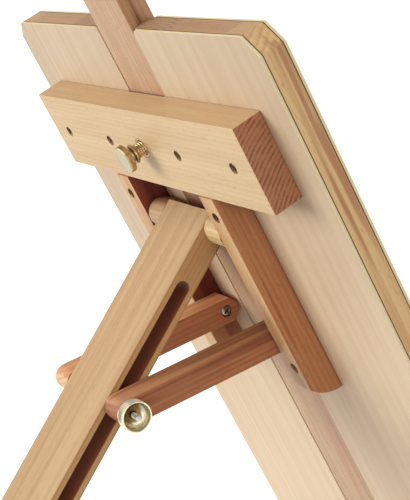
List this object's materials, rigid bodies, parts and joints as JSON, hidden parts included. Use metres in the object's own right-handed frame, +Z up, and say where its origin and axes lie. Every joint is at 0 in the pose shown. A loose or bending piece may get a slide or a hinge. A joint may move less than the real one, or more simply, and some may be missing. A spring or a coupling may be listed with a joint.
{
  "type": "tabletop easel",
  "caption": "Hollow-core drawing board on a folding slotted leg with two side arms, a sliding centre mast with a canvas holder, and a front ledge.",
  "frame": {"origin": "on the table, under the middle of the bounding box, with the easel standing open", "axes": "+Z up, +Y towards the rear leg, +X to the right as seen from the front"},
  "size_m": [0.33, 0.3934, 0.4667],
  "materials": {
    "ply": "pale sanded ply",
    "frame_beech": "oiled beech",
    "crossbar_beech": "oiled beech",
    "rail_beech": "oiled beech",
    "mast_beech": "oiled beech",
    "leg_beech": "oiled beech",
    "arm_beech": "oiled beech",
    "spacer_beech": "turned beech",
    "ledge_beech": "oiled beech",
    "screw_steel": "zinc plated",
    "bright_steel": "bright zinc plated",
    "brass": "polished",
    "pad_brass": "satin"
  },
  "bodies": {
    "board": {"front_panel_left": "ply", "front_panel_right": "ply", "back_panel_left": "ply", "back_panel_right": "ply", "stile_left": "frame_beech", "stile_right": "frame_beech", "mast_guide_left": "frame_beech", "mast_guide_right": "frame_beech", "top_rail_left": "frame_beech", "top_rail_right": "frame_beech", "lock_block_left": "frame_beech", "lock_block_right": "frame_beech", "bottom_rail": "frame_beech", "crossbar": "crossbar_beech", "side_rail_left": "rail_beech", "side_rail_right": "rail_beech", "ledge": "ledge_beech", "ledge_lip": "ledge_beech", "crossbar_screws": "screw_steel", "side_rail_screws": "screw_steel", "ledge_screws": "screw_steel", "threaded_insert": "brass", "leg_pivot_pin": "bright_steel", "arm_pivot_screw_left": "screw_steel", "arm_pivot_screw_right": "screw_steel"},
    "mast": {"mast": "mast_beech", "canvas_holder": "mast_beech", "canvas_holder_screws": "screw_steel"},
    "clamp_pad": {"clamp_pad": "pad_brass"},
    "thumbscrew": {"thumbscrew": "brass"},
    "leg": {"leg": "leg_beech", "leg_spacer_left": "spacer_beech", "leg_spacer_right": "spacer_beech"},
    "arms": {"arm_left": "arm_beech", "arm_right": "arm_beech", "clamp_bolt": "bright_steel"},
    "clamp_washer": {"clamp_washer": "brass"},
    "lock_nut": {"lock_nut": "brass"}
  },
  "joints": [
    {"name": "mast_slide", "type": "slide", "parent": "board", "child": "mast", "axis": [0, 0.4894, 0.8721], "range_m": [-0.0145, 0.24]},
    {"name": "clamp_pad_travel", "type": "slide", "parent": "board", "child": "clamp_pad", "axis": [0, 0.8721, -0.4894], "range_m": [0, 0.0045]},
    {"name": "thumbscrew_turn", "type": "hinge", "parent": "clamp_pad", "child": "thumbscrew", "pos_m": [0, 0.04972, 0.31303], "axis": [0, 0.8721, -0.4894], "range_deg": [0, 1112.4]},
    {"name": "leg_fold", "type": "hinge", "parent": "board", "child": "leg", "pos_m": [0, 0.0135, 0.26627], "axis": [1, 0, 0], "range_deg": [-62, 0]},
    {"name": "arm_fold", "type": "hinge", "parent": "board", "child": "arms", "pos_m": [0, -0.02369, 0.19999], "axis": [1, 0, 0], "range_deg": [-99.1, 0]},
    {"name": "washer_travel", "type": "slide", "parent": "arms", "child": "clamp_washer", "axis": [-1, 0, 0], "range_m": [0, 0.0021]},
    {"name": "lock_nut_turn", "type": "hinge", "parent": "clamp_washer", "child": "lock_nut", "pos_m": [-0.04972, 0.08071, 0.16536], "axis": [-1, 0, 0], "range_deg": [0, 1112.4]}
  ],
  "couplings": [
    {"joint": "arm_fold", "follows": "leg_fold", "ratio": 1.597},
    {"joint": "thumbscrew_turn", "follows": "clamp_pad_travel", "rad_per_m": 4188.8},
    {"joint": "lock_nut_turn", "follows": "washer_travel", "rad_per_m": 8976}
  ]
}
